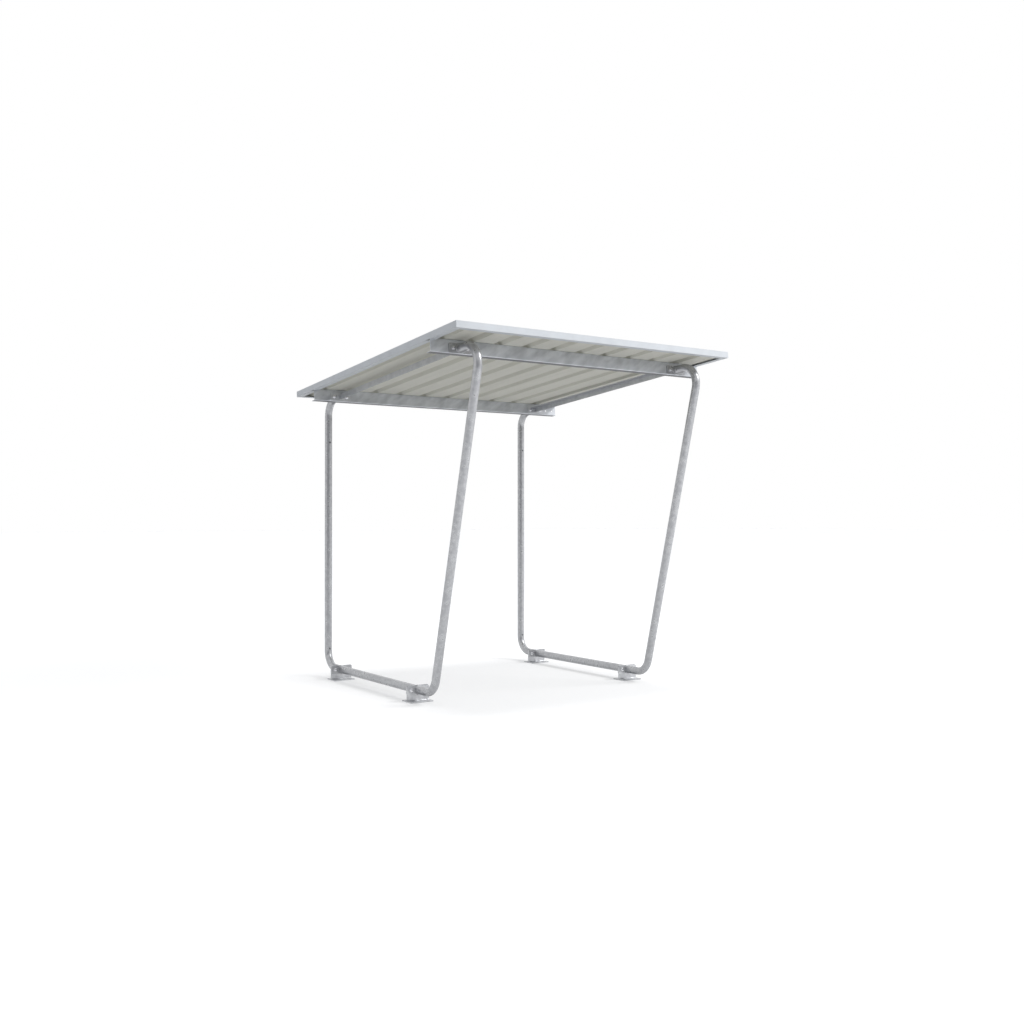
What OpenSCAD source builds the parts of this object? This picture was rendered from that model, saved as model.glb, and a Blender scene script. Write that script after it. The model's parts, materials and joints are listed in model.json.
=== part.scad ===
// Bike shelter: two bent-tube side frames on plate feet, two channel purlins,
// two angle rafters and a trapezoidal sheet roof with folded edge trims.
// Millimetres. X is the width, Y the depth with the open front at -Y, Z is up.
// The origin lies on the ground below the middle of the roof.

/* [Side frames] */
// Distance between the two side frames, axis to axis
frame_spacing = 1742; // [1200:2:1900]
// Outside diameter of the frame tube
tube_d = 54; // [48:0.1:62]
// Wall of the frame tube
tube_wall = 2.9; // [2:0.1:5]
// Bend radius of the tube's centre line
bend_r = 120; // [100:1:140]
// Lean of the front posts towards the front, in degrees
front_lean = 14.5; // [5:0.5:18]
// Distance from the front purlin forward to the corner of the front posts' upper bend, along the slope
front_reach = 246; // [220:1:300]
// Distance from the rear purlin back to the corner of the rear posts' upper bend, along the slope
rear_reach = 206; // [170:1:260]
// Height of the bottom rails' axis above the ground
rail_h = 75; // [60:1:100]
// Diameter of the accessory holes through the rear posts
post_hole_d = 12; // [8:0.5:16]
// Distance of the lower accessory hole above the rear posts' lower bend
low_hole_up = 11; // [10:1:200]
// Distance of the upper accessory hole below the rear posts' upper bend
high_hole_down = 195; // [10:5:400]

/* [Bolted joints] */
// Width of the joint plates, across the shelter
joint_w = 160; // [130:1:190]
// Height of the joint plates
joint_h = 60; // [50:1:64]
// Thickness of the joint plates
joint_t = 6; // [4:0.5:10]
// Corner radius of the joint plates
joint_corner = 10; // [2:1:20]
// Distance between the two bolts of a joint
bolt_spacing = 98; // [90:1:120]
// Diameter of the bolt holes
bolt_hole_d = 13; // [9:0.5:15]
// Diameter of the drain hole behind each tube end
vent_d = 20; // [10:1:30]

/* [Feet] */
// Base plate's width, across the shelter
base_w = 160; // [130:1:260]
// Base plate's length, from front to back
base_l = 124; // [95:1:160]
// Base plate's thickness
base_t = 8; // [5:0.5:15]
// Thickness of the upright plate
upright_t = 8; // [5:0.5:12]
// Distance from the front posts' heel back to their upright plate
front_foot_set = 210; // [150:1:260]
// Distance from the rear posts' axis forward to their upright plate
rear_foot_set = 224; // [180:1:320]
// Distance of the anchor holes from the base plate's left and right edges
anchor_side = 20; // [12:1:30]
// Distance of the anchor holes from the base plate's front and rear edges
anchor_end = 20; // [12:1:30]
// Diameter of the anchor holes
anchor_d = 12; // [8:0.5:16]

/* [Roof] */
// Roof pitch, falling to the rear, in degrees
roof_pitch = 4.6; // [3:0.1:6]
// Height of the sheets' underside above the ground at the middle of the roof
roof_h = 2185; // [2100:1:2400]
// Length of the roof along the slope
roof_l = 2324; // [2000:2:2600]
// Distance between the roof sheets' ribs
rib_pitch = 207; // [200:1:230]
// Distance from the roof's left edge to the first rib
rib_left = 70; // [60:1:80]
// Distance from the last rib to the roof's right edge
rib_right = 14; // [10:1:45]
// Height of the ribs
rib_h = 28; // [15:1:40]
// Width of a rib's flat top
rib_top = 35; // [20:1:45]
// Width of a rib at its foot
rib_foot = 70; // [60:1:100]
// Thickness of the roof sheets
sheet_t = 0.8; // [0.5:0.1:2]
// Width of the lap beside the middle rib
sheet_lap = 15; // [5:1:25]

/* [Edge trims] */
// Thickness of the edge trims
trim_t = 1.2; // [0.8:0.1:2]
// How far the trims reach below the sheets' underside
trim_drop = 10; // [5:1:25]
// Width of the trims' upper flange
trim_top = 70; // [45:1:90]
// Width of the trims' lower flange
trim_low = 40; // [20:1:60]

/* [Purlins and rafters] */
// Height of the purlins
purlin_h = 86; // [76:1:120]
// Width of the purlins' flanges
purlin_flange = 45; // [30:1:60]
// Thickness of the purlins
purlin_t = 3; // [2:0.1:4]
// Outside bend radius of the purlins
purlin_bend = 4.5; // [4:0.5:8]
// Distance of the front purlin's web behind the roof's front edge, along the slope
front_overhang = 309; // [260:1:400]
// Distance of the rear purlin's web ahead of the roof's rear edge, along the slope
rear_overhang = 314; // [260:1:400]
// Distance of the outer extension hole from the purlins' right end
extension_edge = 33; // [20:1:45]
// Distance between the two extension holes
extension_spacing = 62; // [40:1:70]
// Height and width of the rafter angle
rafter_leg = 40; // [30:1:50]
// Thickness of the rafter angle
rafter_t = 4; // [3:0.5:6]
// Distance of the rafters' lower edge below the bolts
rafter_low = 17; // [8:1:25]

/* [Fits] */
// Clearance between sheet edges and folded parts
fit = 0.3; // [0.1:0.1:1]

/* [Hidden] */
$fn = 96;
galvanised = [0.71, 0.72, 0.73];
galvanised_dark = [0.60, 0.61, 0.62];
sheet_beige = [0.65, 0.65, 0.61];
trim_white = [0.84, 0.86, 0.89];
over = 1;
weld_in = 1;
bend_thinning = 0.3;
bend_bite = 0.5;
sheet_ribs = 5;
frame_x = frame_spacing / 2;
roof_w = rib_left + 2 * sheet_ribs * rib_pitch + rib_right;
front_web_s = front_overhang - roof_l / 2;
rear_web_s = roof_l / 2 - rear_overhang;
joint_up = max(purlin_bend + joint_h / 2, purlin_t + tube_d / 2) + fit;
joint_n = joint_up - purlin_h;
lap = sheet_t + fit;
rib_peak = rib_h + lap + sheet_t;
trim_h = trim_drop + rib_peak + trim_t;
sheet_l = roof_l - 2 * (trim_t + fit);
purlin_l = roof_w - 2 * (trim_t + fit);
roof_y = -(trim_h - 2 * trim_drop) / 2 * sin(roof_pitch);
front_top = roof_point(front_web_s - front_reach, joint_n);
rear_top = roof_point(rear_web_s + rear_reach, joint_n);
front_heel = [front_top[0] + tan(front_lean) * (front_top[1] - rail_h), rail_h];
rear_heel = [rear_top[0], rail_h];
front_foot_y = front_heel[0] + front_foot_set;
rear_foot_y = rear_heel[0] - rear_foot_set;
low_hole_z = rail_h + bend_take(90) + low_hole_up;
high_hole_z = rear_top[1] - bend_take(90 - roof_pitch) - high_hole_down;
rib_x = [for (i = [0 : 2 * sheet_ribs]) -roof_w / 2 + rib_left + i * rib_pitch];

// A point of the roof's own section, s along the slope and n square to it, as [y, z]
function roof_point(s, n) = [
    roof_y + s * cos(roof_pitch) + n * sin(roof_pitch),
    roof_h - s * sin(roof_pitch) + n * cos(roof_pitch)
];
function unit(v) = v / norm(v);

// Length that a bend of this angle takes from each straight beside it
function bend_take(turn) = bend_r * tan(turn / 2);

// Lengths of a post's three straights: foot to heel, heel to top bend, top bend to joint plate
function post_lengths(foot_y, heel, top, reach, turns) =
    let (takes = [for (turn = turns) bend_take(turn)])
    [abs(foot_y - heel[0]) - takes[0], norm(top - heel) - takes[0] - takes[1], reach - takes[1]];

// Lays children out on the roof's plane, with z square to the sheets
module on_roof() {
    translate([0, roof_y, roof_h]) rotate([-roof_pitch, 0, 0]) children();
}

// Extrudes a section drawn as [depth, height] across the shelter, centred on X = 0
module across(l) {
    translate([-l / 2, 0, 0]) rotate([90, 0, 90]) linear_extrude(l) children();
}

// Extrudes an outline drawn as [width, height] from front to back, from Y = 0
module backwards(l) {
    translate([0, l, 0]) rotate([90, 0, 0]) linear_extrude(l) children();
}

module rounded_outline(w, h, r) {
    square([w, h - 2 * r], center = true);
    square([w - 2 * r, h], center = true);
    for (x = [-1, 1], y = [-1, 1]) translate([x * (w / 2 - r), y * (h / 2 - r)]) circle(r);
}

// The tube's section, with its wall thinned by the same amount inside and out
module tube_ring(thinned = 0) {
    difference() {
        circle(d = tube_d - 2 * thinned);
        circle(d = tube_d - 2 * tube_wall + 2 * thinned);
    }
}

// A bend of tube that starts upwards at the origin and turns towards +Y.
// Bending thins the wall a little, and the bend runs a little way into the straights beside it.
module tube_bend(turn) {
    translate([0, bend_r, 0]) rotate([90, 0, -90]) rotate([0, 0, -bend_bite])
        rotate_extrude(angle = turn + 2 * bend_bite) translate([bend_r, 0]) tube_ring(bend_thinning);
}

// Places children where such a bend ends
module past_bend(turn) {
    translate([0, bend_r, 0]) rotate([-turn, 0, 0]) translate([0, -bend_r, 0]) children();
}

module tube_straight(l) {
    linear_extrude(l) tube_ring();
}

// A tube of three straights and two bends, welded into a joint plate at its far end
module post_tube(lengths, turns) {
    tube_straight(lengths[0]);
    translate([0, 0, lengths[0]]) {
        tube_bend(turns[0]);
        past_bend(turns[0]) {
            tube_straight(lengths[1]);
            translate([0, 0, lengths[1]]) {
                tube_bend(turns[1]);
                past_bend(turns[1]) {
                    tube_straight(lengths[2] + weld_in);
                    translate([0, 0, lengths[2]]) linear_extrude(joint_t) joint_outline();
                }
            }
        }
    }
}

// The plate that two bolts hold at the end of a tube or rafter
module joint_outline() {
    difference() {
        rounded_outline(joint_w, joint_h, joint_corner);
        for (x = [-1, 1]) translate([x * bolt_spacing / 2, 0]) circle(d = bolt_hole_d);
        circle(d = vent_d);
    }
}

module joint_plate() {
    backwards(joint_t) joint_outline();
}

module front_post(side) {
    foot_y = front_foot_y - upright_t / 2;
    turns = [90 - front_lean, 90 + front_lean + roof_pitch];
    lengths = post_lengths(foot_y, front_heel, front_top, front_reach - joint_t, turns);
    color(galvanised) translate([side * frame_x, foot_y, rail_h]) rotate([90, 0, 0]) post_tube(lengths, turns);
}

module rear_post(side) {
    foot_y = rear_foot_y + upright_t / 2;
    turns = [90, 90 - roof_pitch];
    lengths = post_lengths(foot_y, rear_heel, rear_top, rear_reach - purlin_t - joint_t, turns);
    color(galvanised) translate([side * frame_x, 0, 0]) difference() {
        translate([0, foot_y, rail_h]) mirror([0, 1, 0]) rotate([90, 0, 0]) post_tube(lengths, turns);
        for (z = [low_hole_z, high_hole_z])
            translate([0, rear_heel[0], z]) rotate([90, 0, 0])
                cylinder(d = post_hole_d, h = tube_d + 2 * over, center = true);
    }
}

// A base plate with anchor holes and the upright plate that the tubes meet
module foot(side, y) {
    upright_h = rail_h + tube_d / 2 - base_t;
    color(galvanised) translate([side * frame_x, y, 0]) {
        difference() {
            translate([-base_w / 2, -base_l / 2, 0]) cube([base_w, base_l, base_t]);
            for (x = [-1, 1], v = [-1, 1])
                translate([x * (base_w / 2 - anchor_side), v * (base_l / 2 - anchor_end), -over])
                    cylinder(d = anchor_d, h = base_t + 2 * over);
        }
        translate([0, -upright_t / 2, base_t]) backwards(upright_t) difference() {
            translate([0, upright_h / 2]) upright_outline(joint_w, upright_h);
            for (x = [-1, 1]) translate([x * bolt_spacing / 2, rail_h - base_t]) circle(d = bolt_hole_d);
            translate([0, rail_h - base_t]) circle(d = vent_d);
        }
    }
}

// An upright plate's outline: square below, rounded at its two upper corners
module upright_outline(w, h) {
    rounded_outline(w, h, joint_corner);
    translate([-w / 2, -h / 2]) square([w, h / 2]);
}

module bottom_rail(side) {
    start_y = front_foot_y + upright_t / 2;
    end_y = rear_foot_y - upright_t / 2;
    color(galvanised) translate([side * frame_x, 0, 0]) {
        translate([0, start_y, rail_h]) joint_plate();
        translate([0, start_y + joint_t - weld_in, rail_h])
            backwards(end_y - start_y - 2 * (joint_t - weld_in)) tube_ring();
        translate([0, end_y - joint_t, rail_h]) joint_plate();
    }
}

// A quarter of a folded corner, curving from the left side to the bottom
module fold_corner(r, t) {
    intersection() {
        difference() {
            circle(r);
            circle(r - t);
        }
        translate([-r, -r]) square(r);
    }
}

// A folded channel with its web at the left and its flanges pointing right
module channel_outline() {
    h = purlin_h;
    t = purlin_t;
    r = purlin_bend;
    translate([0, r]) square([t, h - 2 * r]);
    translate([r, 0]) square([purlin_flange - r, t]);
    translate([r, h - t]) square([purlin_flange - r, t]);
    translate([r, r]) fold_corner(r, t);
    translate([r, h - r]) mirror([0, 1]) fold_corner(r, t);
}

module purlin(web_s) {
    right_end = purlin_l / 2;
    extension = [right_end - extension_edge, right_end - extension_edge - extension_spacing];
    joints = [for (side = [-1, 1], x = [-1, 1]) side * frame_x + x * bolt_spacing / 2];
    color(galvanised_dark) on_roof() translate([0, web_s, 0]) difference() {
        translate([0, 0, -purlin_h]) across(purlin_l) channel_outline();
        for (x = concat(joints, extension))
            translate([x, -over, joint_n]) rotate([-90, 0, 0]) cylinder(d = bolt_hole_d, h = purlin_t + 2 * over);
    }
}

module rafter(side) {
    start_s = front_web_s + purlin_t;
    end_s = rear_web_s;
    leg_l = end_s - start_s - 2 * (joint_t - weld_in);
    color(galvanised_dark) on_roof() translate([side * frame_x, 0, joint_n]) {
        translate([0, start_s, 0]) joint_plate();
        translate([0, start_s + joint_t - weld_in, 0]) backwards(leg_l) mirror([side > 0 ? 0 : 1, 0]) {
            translate([-rafter_t / 2, -rafter_low]) square([rafter_t, rafter_leg]);
            translate([rafter_t / 2 - rafter_leg, rafter_leg - rafter_low - rafter_t]) square([rafter_leg, rafter_t]);
        }
        translate([0, end_s - joint_t, 0]) joint_plate();
    }
}

// Underside of one whole rib about x, as points from left to right
function rib_line(x) = [
    [x - rib_foot / 2, 0], [x - rib_top / 2, rib_h], [x + rib_top / 2, rib_h], [x + rib_foot / 2, 0]
];

// A line moved t to its left side, with mitred corners
function moved(line, t) = [
    for (i = [0 : len(line) - 1])
        let (
            before = unit(line[max(i, 1)] - line[max(i, 1) - 1]),
            after = unit(line[min(i + 1, len(line) - 1)] - line[min(i + 1, len(line) - 1) - 1]),
            na = [-before[1], before[0]],
            nb = [-after[1], after[0]]
        )
        line[i] + t * (na + nb) / (1 + na * nb)
];
function reversed(line) = [for (i = [len(line) - 1 : -1 : 0]) line[i]];
function joined(lines) = [for (line = lines) each line];

// The left sheet ends on the top of the middle rib
left_line = concat(
    [[-roof_w / 2 + trim_t + fit, 0]],
    joined([for (i = [0 : sheet_ribs - 1]) rib_line(rib_x[i])]),
    [for (i = [0 : 2]) rib_line(rib_x[sheet_ribs])[i]]
);

// The right sheet laps over the middle rib and ends on the top of the last one
lap_rib = moved(concat(
    [rib_line(rib_x[sheet_ribs])[0] - [sheet_lap, 0]],
    [for (i = [0 : 2]) rib_line(rib_x[sheet_ribs])[i]],
    [rib_line(rib_x[sheet_ribs])[3]]
), lap);
lap_fall = (rib_foot - rib_top) / 2 / rib_h * (lap_rib[3][1]);
right_line = concat(
    [for (i = [0 : 3]) lap_rib[i]],
    [[lap_rib[3][0] + lap_fall, 0]],
    joined([for (i = [sheet_ribs + 1 : 2 * sheet_ribs - 1]) rib_line(rib_x[i])]),
    [for (i = [0 : 1]) rib_line(rib_x[2 * sheet_ribs])[i]],
    [[roof_w / 2 - trim_t - fit, rib_h]]
);

module roof_sheet(line) {
    color(sheet_beige) on_roof() translate([0, -sheet_l / 2, 0]) backwards(sheet_l)
        polygon(concat(line, reversed(moved(line, sheet_t))));
}

// A folded edge trim's section with its web at the left and its flanges pointing right
module trim_outline() {
    square([trim_t, trim_h]);
    square([trim_low, trim_t]);
    translate([0, trim_h - trim_t]) square([trim_top, trim_t]);
}

// A trim along the front edge, cut to mitres at the roof's corners
module front_edge(w, l) {
    reach = trim_top + over;
    translate([0, 0, -trim_drop]) intersection() {
        translate([0, -l / 2, 0]) across(w) trim_outline();
        translate([0, 0, -over]) linear_extrude(trim_h + 2 * over) polygon([
            [-w / 2, -l / 2], [w / 2, -l / 2],
            [w / 2 - reach, reach - l / 2], [reach - w / 2, reach - l / 2]
        ]);
    }
}

// A trim along a side edge, a clearance short of the mitres, and notched over the purlins
module side_edge(w, l) {
    notch = purlin_flange + 2 * fit;
    difference() {
        rotate([0, 0, -90]) front_edge(l - 2 * fit, w);
        for (s = [front_web_s, rear_web_s])
            translate([trim_t - w / 2, s - fit, -trim_drop - over])
                cube([trim_low + over, notch, trim_t + 2 * over]);
    }
}

module edge_trim(turned, on_side) {
    color(trim_white) on_roof() mirror([on_side && turned ? 1 : 0, !on_side && turned ? 1 : 0, 0])
        if (on_side) side_edge(roof_w, roof_l);
        else front_edge(roof_w, roof_l);
}

module front_left_post() { front_post(-1); }
module front_right_post() { front_post(1); }
module rear_left_post() { rear_post(-1); }
module rear_right_post() { rear_post(1); }
module front_left_foot() { foot(-1, front_foot_y); }
module front_right_foot() { foot(1, front_foot_y); }
module rear_left_foot() { foot(-1, rear_foot_y); }
module rear_right_foot() { foot(1, rear_foot_y); }
module left_bottom_rail() { bottom_rail(-1); }
module right_bottom_rail() { bottom_rail(1); }
module front_purlin() { purlin(front_web_s); }
module rear_purlin() { purlin(rear_web_s); }
module left_rafter() { rafter(-1); }
module right_rafter() { rafter(1); }
module left_roof_sheet() { roof_sheet(left_line); }
module right_roof_sheet() { roof_sheet(right_line); }
module front_trim() { edge_trim(false, false); }
module rear_trim() { edge_trim(true, false); }
module left_trim() { edge_trim(false, true); }
module right_trim() { edge_trim(true, true); }

front_left_post();
front_right_post();
rear_left_post();
rear_right_post();
front_left_foot();
front_right_foot();
rear_left_foot();
rear_right_foot();
left_bottom_rail();
right_bottom_rail();
front_purlin();
rear_purlin();
left_rafter();
right_rafter();
left_roof_sheet();
right_roof_sheet();
front_trim();
rear_trim();
left_trim();
right_trim();
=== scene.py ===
"""Bike shelter: finishes, bolts, screws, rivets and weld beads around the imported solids."""
import json
import math

import bpy
from mathutils import Matrix, Vector


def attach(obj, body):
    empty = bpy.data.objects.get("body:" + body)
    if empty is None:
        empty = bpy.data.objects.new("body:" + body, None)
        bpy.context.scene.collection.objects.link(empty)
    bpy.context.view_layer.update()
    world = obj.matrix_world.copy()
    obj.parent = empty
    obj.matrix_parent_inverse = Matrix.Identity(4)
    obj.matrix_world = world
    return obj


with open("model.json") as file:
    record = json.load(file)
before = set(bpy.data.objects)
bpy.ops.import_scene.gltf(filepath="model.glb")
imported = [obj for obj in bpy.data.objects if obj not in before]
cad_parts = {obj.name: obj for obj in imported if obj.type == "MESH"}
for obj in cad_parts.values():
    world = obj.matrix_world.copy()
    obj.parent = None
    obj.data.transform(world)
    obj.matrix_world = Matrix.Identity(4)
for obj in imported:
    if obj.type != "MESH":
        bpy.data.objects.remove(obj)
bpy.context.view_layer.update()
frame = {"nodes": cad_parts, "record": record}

MM = 0.001

# Sizes that the joints share with the solids, in metres
TUBE_R = 54 * MM / 2
FRAME_X = 1742 * MM / 2
RAIL_H = 75 * MM
JOINT_T = 6 * MM
JOINT_H = 60 * MM
BOLT_SPACING = 98 * MM
BASE_W = 160 * MM
BASE_T = 8 * MM
UPRIGHT_T = 8 * MM
PURLIN_H = 86 * MM
PURLIN_T = 3 * MM
PURLIN_FLANGE = 45 * MM
PURLIN_BEND = 4.5 * MM
FIT = 0.3 * MM
ROOF_PITCH = math.radians(4.6)
ROOF_H = 2185 * MM
ROOF_L = 2324 * MM
RIB_PITCH = 207 * MM
RIB_LEFT = 70 * MM
RIB_RIGHT = 14 * MM
RIB_H = 28 * MM
RIB_COUNT = 11
SHEET_T = 0.8 * MM
TRIM_T = 1.2 * MM
TRIM_DROP = 10 * MM
FRONT_OVERHANG = 309 * MM
REAR_OVERHANG = 314 * MM
FRONT_REACH = 246 * MM
REAR_REACH = 206 * MM
FRONT_LEAN = math.radians(14.5)
FRONT_FOOT_SET = 210 * MM
REAR_FOOT_SET = 224 * MM

# Places that follow from those sizes
ROOF_W = RIB_LEFT + (RIB_COUNT - 1) * RIB_PITCH + RIB_RIGHT
FRONT_WEB = FRONT_OVERHANG - ROOF_L / 2
REAR_WEB = ROOF_L / 2 - REAR_OVERHANG
JOINT_UP = max(PURLIN_BEND + JOINT_H / 2, PURLIN_T + TUBE_R) + FIT
JOINT_N = JOINT_UP - PURLIN_H
RIB_PEAK = RIB_H + 2 * SHEET_T + FIT
TRIM_H = TRIM_DROP + RIB_PEAK + TRIM_T
ROOF_Y = -(TRIM_H - 2 * TRIM_DROP) / 2 * math.sin(ROOF_PITCH)
ON_ROOF = Matrix.Translation((0, ROOF_Y, ROOF_H)) @ Matrix.Rotation(-ROOF_PITCH, 4, "X")
FRONT_TOP = ON_ROOF @ Vector((0, FRONT_WEB - FRONT_REACH, JOINT_N))
REAR_TOP = ON_ROOF @ Vector((0, REAR_WEB + REAR_REACH, JOINT_N))
FRONT_HEEL_Y = FRONT_TOP.y + math.tan(FRONT_LEAN) * (FRONT_TOP.z - RAIL_H)
FRONT_FOOT_Y = FRONT_HEEL_Y + FRONT_FOOT_SET
REAR_FOOT_Y = REAR_TOP.y - REAR_FOOT_SET
SIDES = {"left": -1, "right": 1}
TOWARDS_FRONT = Matrix.Rotation(math.radians(90), 4, "X")

# Bolts of 12 mm with their washers and nuts
BOLT_R = 6 * MM
BOLT_FLATS = 18 * MM
BOLT_HEAD_T = 7.5 * MM
BOLT_TAIL = 22 * MM
NUT_T = 10.8 * MM
WASHER_R = 12 * MM
WASHER_T = 2.5 * MM

# Roof screws with a flanged head
SCREW_R = 2.7 * MM
SCREW_L = 14 * MM
SCREW_FLATS = 8 * MM
SCREW_WASHER_R = 8 * MM
SCREW_WASHER_TOP = 2 * MM
SCREW_FLANGE_R = 5.6 * MM
SCREW_FLANGE_TOP = 3 * MM
SCREW_HEAD_TOP = 7 * MM

# Blind rivets along the trims
RIVET_R = 4.2 * MM
RIVET_T = 1.6 * MM
RIVET_RIM = 1.2 * MM
RIVET_DIMPLE = 0.6 * MM
RIVET_EDGE = 45 * MM
SIDE_RIVETS = 6
SIDE_RIVET_END = 150 * MM

# Weld beads
BEAD_R = 4 * MM
BEAD_RIPPLE = 0.5 * MM
BEAD_SIDES = 10
SEAM_SHORT = 6 * MM

# The camera, with its focal length in pixels of the picture
PICTURE = 1024
FOCAL_PIXELS = 1094.05
SENSOR_MM = 36
CAMERA_X = -4.28525
CAMERA_BEFORE_REAR = 7.56675
CAMERA_Z = 1.17036
CAMERA_TILT = 0.00661
CAMERA_TURN = -0.59008

# The stage, in metres
FLOOR_SIZE = 200
FLOOR_GLOW = 0.405
SCREEN_SIZE = (22, 6, 1)
SCREEN_PLACE = (-6.7, -10, 3)
ROOM_BRIGHT_SIDE = (0.707, -0.707, 0)
ROOM_DIM = 0.58
ROOM_BRIGHT = 0.85
KEY_PLACE = (7, -6.5, 8.5)
KEY_TARGET = (0, 0, 1.2)
ABOVE_PLACE = (0, 0, 8)
ABOVE_TARGET = (0, 0, 0)
WHITE = (1, 1, 1, 1)


# Camera: a lens of 38.5 mm at chest height, looking across the front left corner
def add_camera():
    data = bpy.data.cameras.new("camera")
    data.sensor_width = SENSOR_MM
    data.lens = FOCAL_PIXELS / PICTURE * SENSOR_MM
    data.clip_end = FLOOR_SIZE
    camera = bpy.data.objects.new("camera", data)
    camera.location = (CAMERA_X, REAR_TOP.y - CAMERA_BEFORE_REAR, CAMERA_Z)
    camera.rotation_euler = (math.radians(90) + CAMERA_TILT, 0, CAMERA_TURN)
    bpy.context.scene.collection.objects.link(camera)
    bpy.context.scene.camera = camera


# Colours are written as sRGB hex and turned to linear here
def colour(code):
    channels = [int(code[i:i + 2], 16) / 255 for i in (1, 3, 5)]
    return tuple(c / 12.92 if c <= 0.04045 else ((c + 0.055) / 1.055) ** 2.4 for c in channels) + (1,)


# Adds one node, sets its values and links its inputs
def add(tree, kind, inputs=None, **settings):
    node = tree.nodes.new(kind)
    for key, value in settings.items():
        setattr(node, key, value)
    for key, value in (inputs or {}).items():
        if isinstance(value, bpy.types.NodeSocket):
            tree.links.new(value, node.inputs[key])
        else:
            node.inputs[key].default_value = value
    return node


def new_material(name):
    material = bpy.data.materials.new(name)
    material.use_nodes = True
    tree = material.node_tree
    tree.nodes.clear()
    shader = add(tree, "ShaderNodeBsdfPrincipled")
    add(tree, "ShaderNodeOutputMaterial", {"Surface": shader.outputs["BSDF"]})
    return material, tree, shader


# Hot-dip galvanised steel: a bright zinc skin that froze in crystals, so it is a soft metal with
# faint clouds, slightly wavy where the zinc ran. The crystals are too fine to show in the render, so
# the clouds are drawn coarser. Faces that look down get a painted shade: a darker, less metallic
# colour that stands in for the dark ground they would reflect.
def galvanised_steel(name, dark, light, painted_underside_shade, patch_mm, stretch, dull):
    material, tree, shader = new_material(name)
    coords = add(tree, "ShaderNodeTexCoord")
    place = coords.outputs["Object"]
    drawn = add(tree, "ShaderNodeMapping",
                {"Vector": place, "Rotation": (0, math.radians(55), 0), "Scale": (1, 1, stretch)},
                vector_type="TEXTURE")
    cloud = add(tree, "ShaderNodeTexNoise",
                {"Vector": drawn.outputs[0], "Scale": 1 / (patch_mm * MM), "Detail": 2, "Roughness": 0.5})
    share = add(tree, "ShaderNodeMapRange",
                {"Value": cloud.outputs["Fac"], "From Min": 0.34, "From Max": 0.66})
    zinc = add(tree, "ShaderNodeMix",
               {0: share.outputs[0], 6: colour(dark), 7: colour(light)}, data_type="RGBA")
    facing = add(tree, "ShaderNodeSeparateXYZ", {"Vector": coords.outputs["Normal"]})
    # Painted shade: faces that look down turn to the darker underside colour and lose their metal
    painted_shade_below = add(tree, "ShaderNodeMapRange",
                {"Value": facing.outputs["Z"], "From Min": -0.8, "From Max": -1.0})
    skin = add(tree, "ShaderNodeMix",
               {0: painted_shade_below.outputs[0], 6: zinc.outputs[2], 7: colour(painted_underside_shade)}, data_type="RGBA")
    sheen = add(tree, "ShaderNodeMapRange",
                {"Value": share.outputs[0], "To Min": dull, "To Max": 0.85 * dull})
    metal = add(tree, "ShaderNodeMapRange",
                {"Value": painted_shade_below.outputs[0], "To Min": 0.65, "To Max": 0.0})
    runs = add(tree, "ShaderNodeBump",
               {"Height": cloud.outputs["Fac"], "Strength": 0.4, "Distance": 1.5 * MM})
    tree.links.new(skin.outputs[2], shader.inputs["Base Color"])
    tree.links.new(sheen.outputs[0], shader.inputs["Roughness"])
    tree.links.new(metal.outputs[0], shader.inputs["Metallic"])
    tree.links.new(runs.outputs[0], shader.inputs["Normal"])
    shader.inputs["Specular IOR Level"].default_value = 0.05
    return material


# Coil-coated steel sheet: a thin baked paint over zinc, pale grey on the weather side and warm
# grey-white on the back, with a low satin gloss, and faint streaks and waves along the rolling direction
def coated_sheet():
    material, tree, shader = new_material("coil_coated_steel_sheet")
    streak_mm = 60
    coords = add(tree, "ShaderNodeTexCoord")
    rolled = add(tree, "ShaderNodeMapping", {"Vector": coords.outputs["Object"], "Scale": (1, 0.1, 1)})
    streak = add(tree, "ShaderNodeTexNoise",
                 {"Vector": rolled.outputs[0], "Scale": 1 / (streak_mm * MM), "Detail": 4, "Roughness": 0.55})
    share = add(tree, "ShaderNodeMapRange",
                {"Value": streak.outputs["Fac"], "From Min": 0.3, "From Max": 0.7})
    back = add(tree, "ShaderNodeMix",
               {0: share.outputs[0], 6: colour("#E3E2D8"), 7: colour("#EBEAE0")}, data_type="RGBA")
    face = add(tree, "ShaderNodeMix",
               {0: share.outputs[0], 6: colour("#C9CDD1"), 7: colour("#D3D7DA")}, data_type="RGBA")
    facing = add(tree, "ShaderNodeSeparateXYZ", {"Vector": coords.outputs["Normal"]})
    on_top = add(tree, "ShaderNodeMath", {0: facing.outputs["Z"], 1: 0.0}, operation="GREATER_THAN")
    paint = add(tree, "ShaderNodeMix",
                {0: on_top.outputs[0], 6: back.outputs[2], 7: face.outputs[2]}, data_type="RGBA")
    sheen = add(tree, "ShaderNodeMapRange", {"Value": streak.outputs["Fac"], "To Min": 0.48, "To Max": 0.62})
    wave = add(tree, "ShaderNodeBump",
               {"Height": streak.outputs["Fac"], "Strength": 0.3, "Distance": 0.5 * MM})
    tree.links.new(paint.outputs[2], shader.inputs["Base Color"])
    tree.links.new(sheen.outputs[0], shader.inputs["Roughness"])
    tree.links.new(wave.outputs[0], shader.inputs["Normal"])
    shader.inputs["Specular IOR Level"].default_value = 0.1
    return material


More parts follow.
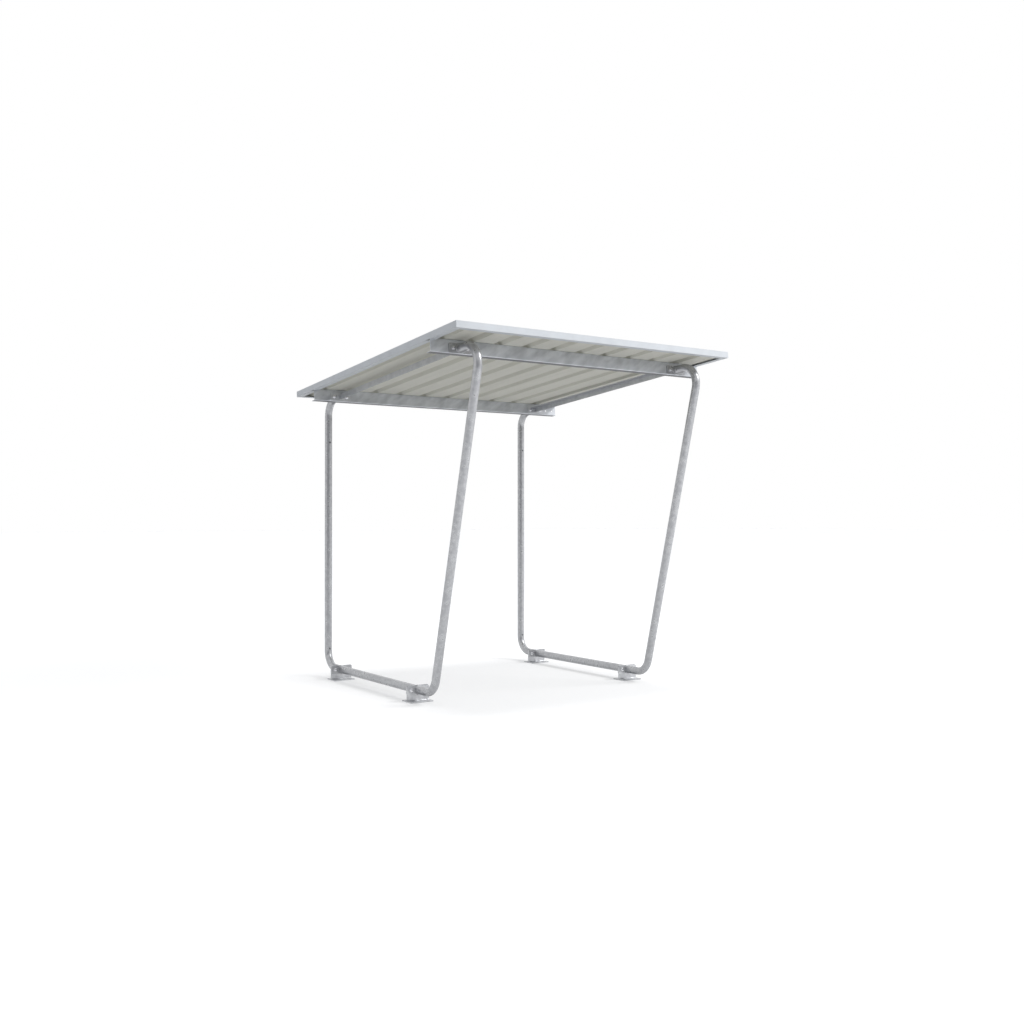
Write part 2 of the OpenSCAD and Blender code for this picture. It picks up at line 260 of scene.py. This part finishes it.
# Folded coated steel trim: the same kind of baked paint, in a cooler and lighter grey, with soft
# clouds and the slight waves of a folded sheet
def coated_trim():
    material, tree, shader = new_material("folded_coated_steel")
    cloud_mm = 90
    coords = add(tree, "ShaderNodeTexCoord")
    cloud = add(tree, "ShaderNodeTexNoise",
                {"Vector": coords.outputs["Object"], "Scale": 1 / (cloud_mm * MM), "Detail": 4})
    share = add(tree, "ShaderNodeMapRange",
                {"Value": cloud.outputs["Fac"], "From Min": 0.3, "From Max": 0.7})
    paint = add(tree, "ShaderNodeMix",
                {0: share.outputs[0], 6: colour("#D5D9DD"), 7: colour("#DDE1E5")}, data_type="RGBA")
    sheen = add(tree, "ShaderNodeMapRange", {"Value": cloud.outputs["Fac"], "To Min": 0.44, "To Max": 0.56})
    wave = add(tree, "ShaderNodeBump",
               {"Height": cloud.outputs["Fac"], "Strength": 0.2, "Distance": 0.5 * MM})
    tree.links.new(paint.outputs[2], shader.inputs["Base Color"])
    tree.links.new(sheen.outputs[0], shader.inputs["Roughness"])
    tree.links.new(wave.outputs[0], shader.inputs["Normal"])
    shader.inputs["Specular IOR Level"].default_value = 0.3
    return material


# Bright zinc-plated steel for the fasteners: a thin electroplated skin, smoother than the dipped zinc,
# with small clouds in its shine
def plated_steel():
    material, tree, shader = new_material("zinc_plated_steel")
    cloud_mm = 6
    place = add(tree, "ShaderNodeTexCoord").outputs["Object"]
    cloud = add(tree, "ShaderNodeTexNoise", {"Vector": place, "Scale": 1 / (cloud_mm * MM), "Detail": 3})
    share = add(tree, "ShaderNodeMapRange",
                {"Value": cloud.outputs["Fac"], "From Min": 0.3, "From Max": 0.7})
    zinc = add(tree, "ShaderNodeMix",
               {0: share.outputs[0], 6: colour("#DEDFE2"), 7: colour("#F0F1F3")}, data_type="RGBA")
    tree.links.new(zinc.outputs[2], shader.inputs["Base Color"])
    sheen = add(tree, "ShaderNodeMapRange", {"Value": cloud.outputs["Fac"], "To Min": 0.16, "To Max": 0.28})
    tree.links.new(sheen.outputs[0], shader.inputs["Roughness"])
    shader.inputs["Metallic"].default_value = 1
    return material


def deselect():
    if bpy.context.object and bpy.context.object.mode != "OBJECT":
        bpy.ops.object.mode_set(mode="OBJECT")
    bpy.ops.object.select_all(action="DESELECT")


# Selects the faces or edges of the object in edit mode whose middle passes the test
def pick(kind, test):
    bpy.ops.object.mode_set(mode="OBJECT")
    mesh = bpy.context.object.data
    for group in (mesh.polygons, mesh.edges, mesh.vertices):
        for part in group:
            part.select = False
    if kind == "faces":
        for face in mesh.polygons:
            face.select = test(face.center, face.normal)
    else:
        for edge in mesh.edges:
            a, b = (mesh.vertices[i].co for i in edge.vertices)
            edge.select = test((a + b) / 2, (b - a).normalized())
    bpy.ops.object.mode_set(mode="EDIT")
    bpy.ops.mesh.select_mode(type="FACE" if kind == "faces" else "EDGE")


# A round or six-sided block from z = low to z = high, with its top edge bevelled
def turned_block(sides, radius, low, high, bevel):
    deselect()
    bpy.ops.mesh.primitive_cylinder_add(vertices=sides, radius=radius, depth=high - low,
                                        location=(0, 0, (low + high) / 2))
    bpy.ops.object.transform_apply(location=True, rotation=True, scale=True)
    block = bpy.context.object
    bpy.ops.object.mode_set(mode="EDIT")
    pick("edges", lambda middle, along: abs(along.z) < 0.5 and middle.z > high - 1e-5)
    bpy.ops.mesh.bevel(offset=bevel, segments=2, affect="EDGES")
    bpy.ops.object.mode_set(mode="OBJECT")
    return block


def join(blocks, name):
    deselect()
    for block in blocks:
        block.select_set(True)
    bpy.context.view_layer.objects.active = blocks[0]
    if len(blocks) > 1:
        bpy.ops.object.join()
    blocks[0].name = name
    blocks[0].data.name = name
    return blocks[0]


# A hexagon bolt along z with its head above z = 0, a washer at each end, and its nut below
def bolt_pattern(grip):
    corner_r = BOLT_FLATS / 2 / math.cos(math.radians(30))
    head = turned_block(6, corner_r, WASHER_T, WASHER_T + BOLT_HEAD_T, 1 * MM)
    washer = turned_block(32, WASHER_R, 0, WASHER_T, 0.4 * MM)
    under = turned_block(32, WASHER_R, -grip - WASHER_T, -grip, 0.4 * MM)
    nut = turned_block(6, corner_r, 0, NUT_T, 1 * MM)
    shank = turned_block(24, BOLT_R, 0, grip + BOLT_TAIL, 1 * MM)
    flip = Matrix.Rotation(math.radians(180), 4, "X")
    nut.data.transform(Matrix.Translation((0, 0, -grip - WASHER_T)) @ flip)
    shank.data.transform(flip)
    return join([head, washer, under, nut, shank], "bolt_pattern")


# A roof screw along z: six-sided head with its flange, on a rubber-backed washer
def screw_pattern():
    corner_r = SCREW_FLATS / 2 / math.cos(math.radians(30))
    washer = turned_block(24, SCREW_WASHER_R, 0, SCREW_WASHER_TOP, 0.6 * MM)
    flange = turned_block(24, SCREW_FLANGE_R, SCREW_WASHER_TOP, SCREW_FLANGE_TOP, 0.3 * MM)
    head = turned_block(6, corner_r, SCREW_FLANGE_TOP, SCREW_HEAD_TOP, 0.6 * MM)
    shank = turned_block(12, SCREW_R, -SCREW_L, 0, 0.2 * MM)
    return join([washer, flange, head, shank], "screw_pattern")


# A blind rivet's domed head with the dimple of its pulled mandrel
def rivet_pattern():
    dome = turned_block(20, RIVET_R, 0, RIVET_T, 1.1 * MM)
    bpy.ops.object.mode_set(mode="EDIT")
    pick("faces", lambda middle, normal: normal.z > 0.9 and middle.z > 0.95 * RIVET_T)
    bpy.ops.mesh.inset(thickness=RIVET_RIM)
    bpy.ops.transform.translate(value=(0, 0, -RIVET_DIMPLE))
    bpy.ops.object.mode_set(mode="OBJECT")
    dome.name = "rivet_pattern"
    return dome


# A weld bead around a tube, in the plane z = 0, with the ripples of a hand-run weld
def ring_bead():
    deselect()
    bpy.ops.mesh.primitive_torus_add(major_radius=TUBE_R, minor_radius=BEAD_R,
                                     major_segments=72, minor_segments=BEAD_SIDES)
    bead = bpy.context.object
    bpy.ops.object.mode_set(mode="EDIT")
    bpy.ops.mesh.select_all(action="SELECT")
    bpy.ops.transform.vertex_random(offset=BEAD_RIPPLE, normal=1.0, seed=4)
    bpy.ops.object.mode_set(mode="OBJECT")
    bead.name = "ring_bead"
    return bead


# A straight weld bead along x, with the same ripples
def straight_bead(length):
    deselect()
    bpy.ops.mesh.primitive_cylinder_add(vertices=BEAD_SIDES, radius=BEAD_R, depth=length,
                                        rotation=(0, math.radians(90), 0))
    bpy.ops.object.transform_apply(location=True, rotation=True, scale=True)
    bead = bpy.context.object
    bpy.ops.object.mode_set(mode="EDIT")
    pick("edges", lambda middle, along: abs(along.x) > 0.9)
    bpy.ops.mesh.subdivide(number_cuts=35)
    bpy.ops.mesh.select_all(action="SELECT")
    bpy.ops.transform.vertex_random(offset=BEAD_RIPPLE, normal=1.0, seed=7)
    bpy.ops.object.mode_set(mode="OBJECT")
    bead.name = "straight_bead"
    return bead


# Copies a pattern to each place, as one piece that rides on the shelter
def place_copies(pattern, name, places, material):
    copies = []
    for place in places:
        mesh = pattern.data.copy()
        mesh.transform(place)
        copy = bpy.data.objects.new(name, mesh)
        bpy.context.scene.collection.objects.link(copy)
        copies.append(copy)
    piece = join(copies, name)
    bpy.ops.object.shade_smooth_by_angle(angle=math.radians(35))
    piece.data.materials.clear()
    piece.data.materials.append(material)
    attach(piece, "root")


def add_fasteners(steel):
    purlin_bolt = bolt_pattern(2 * JOINT_T + PURLIN_T)
    foot_bolt = bolt_pattern(UPRIGHT_T + JOINT_T)
    for side, sign in SIDES.items():
        xs = [sign * FRAME_X + k * BOLT_SPACING / 2 for k in (-1, 1)]
        for end, web in (("front", FRONT_WEB), ("rear", REAR_WEB)):
            places = [ON_ROOF @ Matrix.Translation((x, web - JOINT_T, JOINT_N)) @ TOWARDS_FRONT for x in xs]
            place_copies(purlin_bolt, f"{end}_{side}_purlin_bolts", places, steel)
        front_face = FRONT_FOOT_Y - UPRIGHT_T / 2
        rear_face = REAR_FOOT_Y - UPRIGHT_T / 2 - JOINT_T
        for end, y in (("front", front_face), ("rear", rear_face)):
            places = [Matrix.Translation((x, y, RAIL_H)) @ TOWARDS_FRONT for x in xs]
            place_copies(foot_bolt, f"{end}_{side}_foot_bolts", places, steel)
    screw = screw_pattern()
    valleys = [-ROOF_W / 2 + RIB_LEFT + (i + 0.5) * RIB_PITCH for i in range(RIB_COUNT - 1)]
    for end, web in (("front", FRONT_WEB), ("rear", REAR_WEB)):
        places = [ON_ROOF @ Matrix.Translation((x, web + PURLIN_FLANGE / 2, SHEET_T)) for x in valleys]
        place_copies(screw, f"{end}_roof_screws", places, steel)
    rivet = rivet_pattern()
    ribs = [-ROOF_W / 2 + RIB_LEFT + i * RIB_PITCH for i in range(RIB_COUNT - 1)]
    top = RIB_PEAK + TRIM_T
    for end, sign in (("front", -1), ("rear", 1)):
        places = [ON_ROOF @ Matrix.Translation((x, sign * (ROOF_L / 2 - RIVET_EDGE), top)) for x in ribs]
        place_copies(rivet, f"{end}_trim_rivets", places, steel)
    gap = (ROOF_L - 2 * SIDE_RIVET_END) / (SIDE_RIVETS - 1)
    steps = [-ROOF_L / 2 + SIDE_RIVET_END + i * gap for i in range(SIDE_RIVETS)]
    for side, sign in SIDES.items():
        places = [ON_ROOF @ Matrix.Translation((sign * (ROOF_W / 2 - RIVET_EDGE), s, top)) for s in steps]
        place_copies(rivet, f"{side}_trim_rivets", places, steel)
    for pattern in (purlin_bolt, foot_bolt, screw, rivet):
        bpy.data.objects.remove(pattern)


def add_welds(zinc):
    ring = ring_bead()
    seam = straight_bead(BASE_W - SEAM_SHORT)
    for side, sign in SIDES.items():
        x = sign * FRAME_X
        post_ends = {
            "front": (FRONT_WEB - JOINT_T, FRONT_FOOT_Y - UPRIGHT_T / 2),
            "rear": (REAR_WEB + PURLIN_T + JOINT_T, REAR_FOOT_Y + UPRIGHT_T / 2),
        }
        for end, (top_s, foot_y) in post_ends.items():
            places = [
                ON_ROOF @ Matrix.Translation((x, top_s, JOINT_N)) @ TOWARDS_FRONT,
                Matrix.Translation((x, foot_y, RAIL_H)) @ TOWARDS_FRONT,
            ]
            place_copies(ring, f"{end}_{side}_post_welds", places, zinc)
        rail_ends = (FRONT_FOOT_Y + UPRIGHT_T / 2 + JOINT_T, REAR_FOOT_Y - UPRIGHT_T / 2 - JOINT_T)
        places = [Matrix.Translation((x, y, RAIL_H)) @ TOWARDS_FRONT for y in rail_ends]
        place_copies(ring, f"{side}_rail_welds", places, zinc)
        for end, y in (("front", FRONT_FOOT_Y), ("rear", REAR_FOOT_Y)):
            places = [Matrix.Translation((x, y + k * UPRIGHT_T / 2, BASE_T)) for k in (-1, 1)]
            place_copies(seam, f"{end}_{side}_foot_welds", places, zinc)
    for pattern in (ring, seam):
        bpy.data.objects.remove(pattern)


# Feet and rafters have their own zinc, and every other node has the finish of its slot
def dress_nodes(finishes):
    slots = {part["node"]: part["material_slot"] for part in frame["record"]["subparts"]}
    for name, node in frame["nodes"].items():
        node.data.materials.clear()
        kind = name.split("_")[-1]
        node.data.materials.append(finishes.get(kind, finishes[slots[name]]))


# The rays that see the white background: from the camera, off metal and through clear things
def background_rays(tree):
    rays = add(tree, "ShaderNodeLightPath")
    metal = add(tree, "ShaderNodeMath", {0: rays.outputs["Is Camera Ray"], 1: rays.outputs["Is Glossy Ray"]},
                operation="MAXIMUM")
    return add(tree, "ShaderNodeMath", {0: metal.outputs[0], 1: rays.outputs["Is Transmission Ray"]},
               operation="MAXIMUM").outputs[0]


# A floor that is white in the picture and in the metal, and keeps the shelter's soft shadow
def add_floor():
    deselect()
    bpy.ops.mesh.primitive_plane_add(size=FLOOR_SIZE)
    floor = bpy.context.object
    floor.name = "floor"
    material = bpy.data.materials.new("pale_floor")
    material.use_nodes = True
    tree = material.node_tree
    tree.nodes.clear()
    seen = background_rays(tree)
    matt = add(tree, "ShaderNodeBsdfDiffuse", {"Color": colour("#A8A8A8")})
    shade = add(tree, "ShaderNodeBsdfDiffuse", {"Color": colour("#CDCDCD")})
    glow = add(tree, "ShaderNodeEmission", {"Color": WHITE, "Strength": FLOOR_GLOW})
    white = add(tree, "ShaderNodeAddShader", {0: shade.outputs[0], 1: glow.outputs[0]})
    mix = add(tree, "ShaderNodeMixShader", {0: seen, 1: matt.outputs[0], 2: white.outputs[0]})
    add(tree, "ShaderNodeOutputMaterial", {"Surface": mix.outputs[0]})
    floor.data.materials.append(material)


# A grey screen behind the camera that darkens the middle of the bright tubes, out of the picture itself
def add_screen():
    deselect()
    bpy.ops.mesh.primitive_plane_add(size=1)
    screen = bpy.context.object
    screen.name = "screen"
    screen.scale = SCREEN_SIZE
    screen.location = SCREEN_PLACE
    screen.rotation_euler = (math.radians(90), 0, CAMERA_TURN)
    bpy.ops.object.transform_apply(location=True, rotation=True, scale=True)
    screen.visible_camera = False
    screen.visible_diffuse = False
    screen.visible_shadow = False
    material = bpy.data.materials.new("grey_screen")
    material.use_nodes = True
    tree = material.node_tree
    tree.nodes.clear()
    cloth = add(tree, "ShaderNodeBsdfDiffuse", {"Color": colour("#B4B4B6")})
    add(tree, "ShaderNodeOutputMaterial", {"Surface": cloth.outputs[0]})
    screen.data.materials.append(material)


# A soft room around the shelter, bright to the front right and dim to the rear left
def add_world():
    world = bpy.data.worlds.new("studio")
    bpy.context.scene.world = world
    world.use_nodes = True
    tree = world.node_tree
    tree.nodes.clear()
    way = add(tree, "ShaderNodeTexCoord").outputs["Generated"]
    towards = add(tree, "ShaderNodeVectorMath", {0: way, 1: ROOM_BRIGHT_SIDE}, operation="DOT_PRODUCT")
    level = add(tree, "ShaderNodeMapRange",
                {"Value": towards.outputs["Value"], "From Min": -0.6, "From Max": 0.9,
                 "To Min": ROOM_DIM, "To Max": ROOM_BRIGHT}, interpolation_type="SMOOTHSTEP")
    soft = add(tree, "ShaderNodeBackground", {"Color": colour("#F4F6FA"), "Strength": level.outputs[0]})
    white = add(tree, "ShaderNodeBackground", {"Color": WHITE, "Strength": 1})
    seen = background_rays(tree)
    mix = add(tree, "ShaderNodeMixShader", {0: seen, 1: soft.outputs[0], 2: white.outputs[0]})
    add(tree, "ShaderNodeOutputWorld", {"Surface": mix.outputs[0]})


def aim(lamp, place, target):
    lamp.location = place
    lamp.rotation_euler = (Vector(target) - Vector(place)).to_track_quat("-Z", "Y").to_euler()
    bpy.context.scene.collection.objects.link(lamp)


# A broad soft light high at the front right, and one from straight above that draws the roof's shadow
def add_lamps():
    key = bpy.data.lights.new("key", "AREA")
    key.shape = "RECTANGLE"
    key.size = 5
    key.size_y = 3
    key.energy = 760
    aim(bpy.data.objects.new("key", key), KEY_PLACE, KEY_TARGET)
    above = bpy.data.lights.new("above", "SUN")
    above.energy = 1.1
    above.angle = math.radians(16)
    aim(bpy.data.objects.new("above", above), ABOVE_PLACE, ABOVE_TARGET)


# Each underside colour below is painted shade for the faces that look down
zinc_tube = galvanised_steel("hot_dip_galvanised_tube", dark="#AFB0B3", light="#C1C2C4",
                             painted_underside_shade="#8A8B8E", patch_mm=26, stretch=1, dull=0.32)
# The feet's zinc is painted lighter than the tubes', a painted fill light for plates that sit in the roof's
# shadow
lightened_zinc_plate = galvanised_steel("hot_dip_galvanised_plate", dark="#C4C5C8", light="#D8D9DB",
                              painted_underside_shade="#8A8A8F", patch_mm=26, stretch=1, dull=0.36)
zinc_profile = galvanised_steel("hot_dip_galvanised_profile", dark="#BDC0C5", light="#DBDEE3",
                                painted_underside_shade="#5A5B60", patch_mm=50, stretch=2.5, dull=0.34)
zinc_angle = galvanised_steel("hot_dip_galvanised_angle", dark="#CCCED2", light="#DADCE0",
                              painted_underside_shade="#A6A7AB", patch_mm=50, stretch=2.5, dull=0.34)
finishes = {
    "galvanised_tube": zinc_tube,
    "galvanised_profile": zinc_profile,
    "foot": lightened_zinc_plate,
    "rafter": zinc_angle,
    "roof_sheet": coated_sheet(),
    "edge_trim": coated_trim(),
}

add_camera()
dress_nodes(finishes)
add_fasteners(plated_steel())
add_welds(zinc_tube)
add_floor()
add_screen()
add_world()
add_lamps()
bpy.context.scene.view_settings.view_transform = "Standard"
